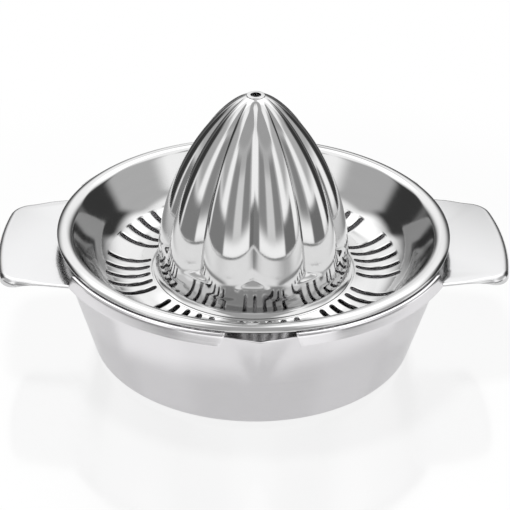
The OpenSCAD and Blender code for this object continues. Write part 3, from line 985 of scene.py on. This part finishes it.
# Panels of the studio, each laid over those before it: name, sides in degrees from the front (plus is
# right), lower and upper edge in degrees over the floor, softness of the sides and edges, and shade.
PANELS = (
    ("overhead", -200, 200, 76, 120, 10, 10, 0.4),
    ("softbox_left", -169, -118, 42, 74, 10, 10, 1.35),
    ("softbox_right", 118, 169, 42, 74, 10, 10, 1.35),
    ("behind_left", -200, -173, 42, 72, 8, 8, 0.4),
    ("behind_right", 173, 200, 42, 72, 8, 8, 0.4),
    ("table", -120, 120, -60, -7, 10, 4, 0.65),
    ("table_left", -100, -18, -60, -7, 6, 4, 0.16),
    ("front_high", -60, 60, 45, 82, 8, 8, 0.38),
    ("front", -45, 45, 3, 48, 6, 8, 0.46),
    ("front_strip", -12, 12, 3, 34, 5, 8, 0.68),
    ("dip_left", -40, -15, 6, 42, 6, 8, 0.27),
    ("dip_right", 14, 38, 6, 42, 6, 8, 0.25),
    ("low_left", -100, -40, -12, 11, 6, 5, 0.22),
    ("low_right", 42, 84, -10, 9, 6, 4, 0.17),
    ("side_left", -112, -68, 13, 48, 14, 12, 0.43),
    ("side_right", 68, 112, 13, 48, 14, 12, 0.46),
    ("back_left", -176, -130, -60, 20, 24, 26, 0.08),
    ("back_right", 130, 178, -60, 22, 24, 26, 0.08),
    ("dark_left", -136, -107, -60, 33, 8, 16, 0.04),
    ("dark_right", 107, 136, -60, 33, 8, 16, 0.04),
)


def studio_shade(side, height):
    """Shade of the studio in a direction, in degrees from the front and over the floor."""
    value = 1.0
    for _, start, end, low, high, side_soft, height_soft, shade in PANELS:
        across = ease(min(side - start, end - side) / side_soft + 0.5)
        up = ease(min(height - low, high - height) / height_soft + 0.5)
        value += (shade - value) * across * up
    return value


def make_dome(s):
    """Dome round the set with soft grey panels, seen only in mirror images."""
    radius = 2.0
    bm = bmesh.new()
    bmesh.ops.create_uvsphere(bm, u_segments=180, v_segments=90, radius=radius)
    bmesh.ops.reverse_faces(bm, faces=bm.faces[:])
    painted = bm.verts.layers.float_color.new("shade")
    for v in bm.verts:
        side = math.degrees(math.atan2(v.co.x, -v.co.y))
        height = math.degrees(math.asin(v.co.z / radius))
        value = studio_shade(side, height)
        v[painted] = (value, value, value, 1.0)
    dome = mesh_object(bm, "studio_dome", dome_material(s))
    dome.visible_camera = False
    dome.visible_diffuse = False
    dome.visible_shadow = False
    dome.visible_transmission = False


def make_lamp(s):
    """Soft lamp overhead, aimed at the juicer's foot, which lights the floor alone."""
    spot = Vector((-0.15, 0.1, 1.3))
    lamp = bpy.data.lights.new("overhead", "AREA")
    lamp.shape = "DISK"
    lamp.size = s.lamp_size
    lamp.energy = s.lamp_power
    holder = bpy.data.objects.new("overhead", lamp)
    holder.location = spot
    holder.rotation_euler = (-spot).to_track_quat("-Z", "Y").to_euler()
    holder.visible_glossy = False
    bpy.context.scene.collection.objects.link(holder)


def make_camera(s):
    """Camera at the photograph's angle."""
    data = bpy.data.cameras.new("camera")
    data.lens = s.lens
    data.sensor_width = 36.0
    data.clip_start = 0.05
    data.shift_x = 0.0035
    data.shift_y = -0.0002
    camera = bpy.data.objects.new("camera", data)
    level = s.camera_distance * math.cos(s.camera_height)
    away = Vector((level * math.sin(s.camera_side), -level * math.cos(s.camera_side), 0.0))
    away.z = s.camera_distance * math.sin(s.camera_height)
    facing = (-away).to_track_quat("-Z", "Y").to_matrix()
    rolled = facing @ Matrix.Rotation(s.camera_roll, 3, "Z")
    camera.matrix_world = Matrix.Translation(away + Vector((0, 0, s.target_height))) @ rolled.to_4x4()
    bpy.context.scene.collection.objects.link(camera)
    bpy.context.scene.camera = camera


class JUICER_OT_stage(bpy.types.Operator):
    """Set up the floor, the studio light and the camera"""

    bl_idname = "juicer.stage"
    bl_label = "Stage"

    def execute(self, context):
        s = context.scene.juicer_stage
        make_world(s)
        make_floor(s)
        make_dome(s)
        make_lamp(s)
        make_camera(s)
        context.scene.view_settings.view_transform = "Standard"
        return {"FINISHED"}


class JUICER_PT_panel(bpy.types.Panel):
    """Sizes and steps of the juicer"""

    bl_label = "Citrus juicer"
    bl_idname = "JUICER_PT_panel"
    bl_space_type = "VIEW_3D"
    bl_region_type = "UI"
    bl_category = "Juicer"

    def draw(self, context):
        for step, name in STEPS:
            box = self.layout.box()
            box.operator(step)
            settings = getattr(context.scene, name)
            for key in settings.__annotations__:
                box.prop(settings, key)
        box = self.layout.box()
        for key in JuicerFinishSettings.__annotations__:
            box.prop(context.scene.juicer_finish, key)


STEPS = (
    ("juicer.bowl", "juicer_bowl"),
    ("juicer.tray", "juicer_tray"),
    ("juicer.cone", "juicer_cone"),
    ("juicer.ears", "juicer_ears"),
    ("juicer.stage", "juicer_stage"),
)
SETTINGS = (
    ("juicer_bowl", JuicerBowlSettings),
    ("juicer_tray", JuicerTraySettings),
    ("juicer_cone", JuicerConeSettings),
    ("juicer_ears", JuicerEarSettings),
    ("juicer_finish", JuicerFinishSettings),
    ("juicer_stage", JuicerStageSettings),
)
CLASSES = tuple(group for _, group in SETTINGS) + (
    JUICER_OT_bowl,
    JUICER_OT_tray,
    JUICER_OT_cone,
    JUICER_OT_ears,
    JUICER_OT_stage,
    JUICER_PT_panel,
)


def register():
    """Registers the classes and the settings of the scene."""
    for cls in CLASSES:
        bpy.utils.register_class(cls)
    for name, group in SETTINGS:
        setattr(bpy.types.Scene, name, PointerProperty(type=group))


def unregister():
    """Takes the settings and the classes away again."""
    for name, _ in reversed(SETTINGS):
        delattr(bpy.types.Scene, name)
    for cls in reversed(CLASSES):
        bpy.utils.unregister_class(cls)


def main():
    """Builds the juicer and its stage."""
    register()
    bpy.ops.juicer.bowl()
    bpy.ops.juicer.tray()
    bpy.ops.juicer.cone()
    bpy.ops.juicer.ears()
    bpy.ops.juicer.stage()


if __name__ == "__main__":
    main()
